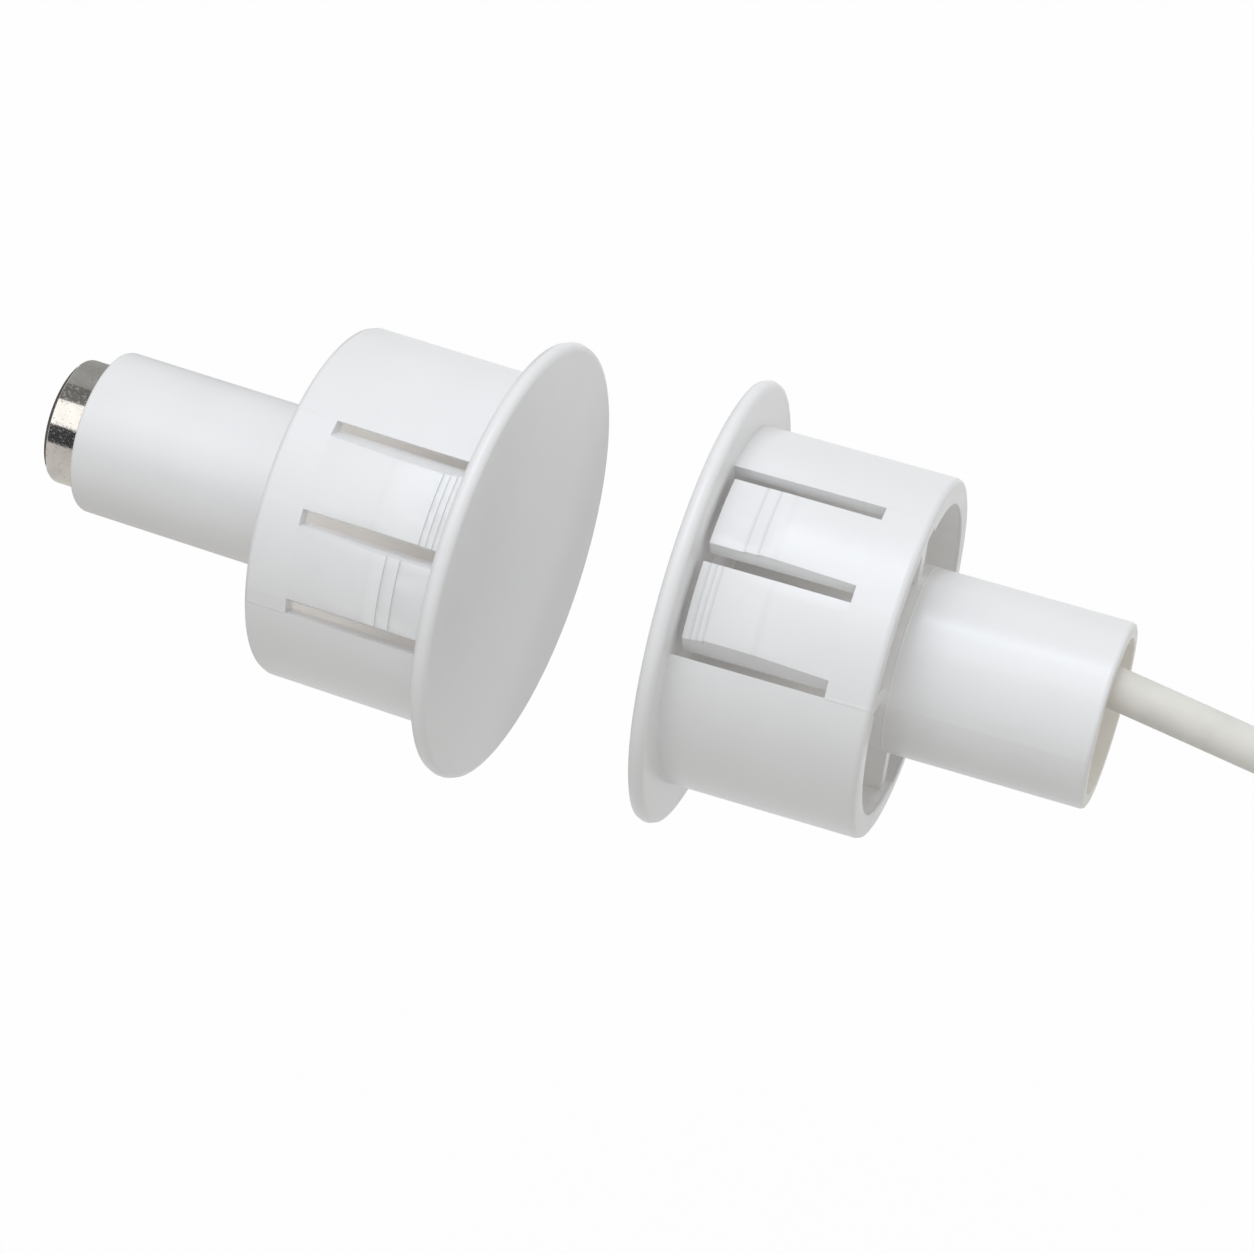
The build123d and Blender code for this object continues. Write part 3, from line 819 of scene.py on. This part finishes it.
def surround():
    """The world: an even light that shows as white behind the object and in its reflections."""
    world = bpy.data.worlds.new("studio")
    bpy.context.scene.world = world
    world.use_nodes = True
    studio = Nodes(world.node_tree)
    lit = studio.node("ShaderNodeBackground", {}, {"Color": (*SURROUND_COLOUR, 1), "Strength": SURROUND_LIGHT})
    seen = studio.node("ShaderNodeBackground", {}, {"Color": PLAIN_WHITE, "Strength": 1.0})
    chosen = studio.node("ShaderNodeMixShader", {}, {0: studio.plain_rays(), 1: lit, 2: seen})
    studio.node("ShaderNodeOutputWorld", {}, {"Surface": chosen})


def soft_lamp(name, place, side, watts, target):
    """A square lamp that faces a target."""
    data = bpy.data.lights.new(name, "AREA")
    data.size, data.energy, data.color = side, watts, LAMP_COLOUR
    lamp = added(name, data)
    lamp.location = place
    lamp.rotation_mode = "QUATERNION"
    lamp.rotation_quaternion = (place - target).to_track_quat("Z", "Y")


surround()
soft_lamp("key_lamp", KEY_PLACE, KEY_SIDE, KEY_WATTS, KEY_TARGET)
soft_lamp("streak_lamp", STREAK_PLACE, STREAK_SIDE, STREAK_WATTS, STREAK_TARGET)
bpy.context.scene.view_settings.view_transform = "Standard"
print("surround", SURROUND_LIGHT, "lamps", KEY_WATTS, STREAK_WATTS, "W")

# %% [markdown]
# The floor lies well below the object. Most of it shows as plain white, to the camera, in mirrors and through
# glass. For the rest it is an ordinary pale surface, so it bounces light up and keeps the soft shadow.

# %% The floor
FLOOR_HEIGHT, FLOOR_SIDE = -120.0, 4000.0
FLOOR_TONE, FLOOR_MOTTLE, FLOOR_SEEN = 0.62, 0.61, 0.94


def floor_finish():
    """Pale to the light, and mostly plain white to the camera, in mirrors and through glass."""
    finish = Finish("studio_floor")
    seen = finish.plain_rays()
    tone = finish.mix(finish.grain(60), (FLOOR_TONE,) * 3, (FLOOR_MOTTLE,) * 3)
    matte = finish.node("ShaderNodeBsdfDiffuse", {}, {"Color": finish.mix(seen, tone, (1, 1, 1))})
    white = finish.node("ShaderNodeEmission", {}, {"Color": PLAIN_WHITE, "Strength": 1.0})
    return finish.closed(finish.node("ShaderNodeMixShader", {}, {0: seen * FLOOR_SEEN, 1: matte, 2: white}))


def floor_plane():
    """A large flat sheet below the object."""
    half, height = FLOOR_SIDE / 2 * MM, FLOOR_HEIGHT * MM
    corners = [(-half, -half, height), (half, -half, height), (half, half, height), (-half, half, height)]
    mesh = bpy.data.meshes.new("studio_floor")
    mesh.from_pydata(corners, [], [(0, 1, 2, 3)])
    mesh.materials.append(floor_finish())
    floor = added("studio_floor", mesh)


floor_plane()
print("floor at", FLOOR_HEIGHT, "mm")

# %% [markdown]
# Metal is a mirror, so on a white ground it needs something to reflect. The photographer's lamps and dark
# studio show as bands along the magnet: light grey, almost black, white, dark and mid grey. Narrow curved
# cards round the magnet's line give them, and a dark disc past its end gives the thin dark rim. Only mirror
# rays meet them: they cast no shadow, light nothing, and the camera doesn't see them.

# %% The cards that the metal reflects
CARD_REACH, CARD_START, CARD_END = 110.0, 52.0, 118.0
CARD_STEP = 6
# Each card's name, its first and last degree round the magnet's line, and its tone
CARDS = [
    ("card_light_grey", -130, 3, (0.66, 0.635, 0.61)),
    ("card_black", 3, 38, (0.05, 0.053, 0.057)),
    ("card_white", 38, 85, (1.36, 1.345, 1.30)),
    ("card_dark", 85, 119, (0.175, 0.175, 0.17)),
    ("card_mid_grey", 119, 225, (0.375, 0.377, 0.368)),
]
DISC_HEIGHT, DISC_RADIUS, DISC_TONE = 94.0, 70.0, (0.12, 0.11, 0.10)


def card(name, points, faces, tone):
    """A staged card that only mirror rays meet, of one tone."""
    finish = Finish(name)
    brightest = max(tone)
    colour = (*(value / brightest for value in tone), 1)
    glow = finish.node("ShaderNodeEmission", {}, {"Color": colour, "Strength": brightest})
    mesh = bpy.data.meshes.new(name)
    mesh.from_pydata(points, [], faces)
    mesh.materials.append(finish.closed(glow))
    sheet = added(name, mesh)
    sheet.visible_camera = sheet.visible_diffuse = sheet.visible_shadow = False
    sheet.visible_transmission = sheet.visible_volume_scatter = False


def round_magnet(degrees, reach, height):
    """A point beside the magnet half's line, from its turn, its distance and its height along the line."""
    angle = math.radians(degrees)
    out = MAGNET_LEVEL * math.cos(angle) + MAGNET_RAISED * math.sin(angle)
    return MAGNET_SEAT + (out * reach + magnet_axes.col[2].xyz * height) * MM


for name, first, last, tone in CARDS:
    count = round((last - first) / CARD_STEP)
    turns = [first + (last - first) * number / count for number in range(count + 1)]
    points = [round_magnet(turn, CARD_REACH, height) for turn in turns for height in (CARD_START, CARD_END)]
    card(name, points, [(2 * n, 2 * n + 1, 2 * n + 3, 2 * n + 2) for n in range(count)], tone)
rim = [round_magnet(turn, DISC_RADIUS, DISC_HEIGHT) for turn in range(0, 360, CARD_STEP)]
card("card_disc", rim, [tuple(range(len(rim)))], DISC_TONE)
print("cards", len(CARDS) + 1)
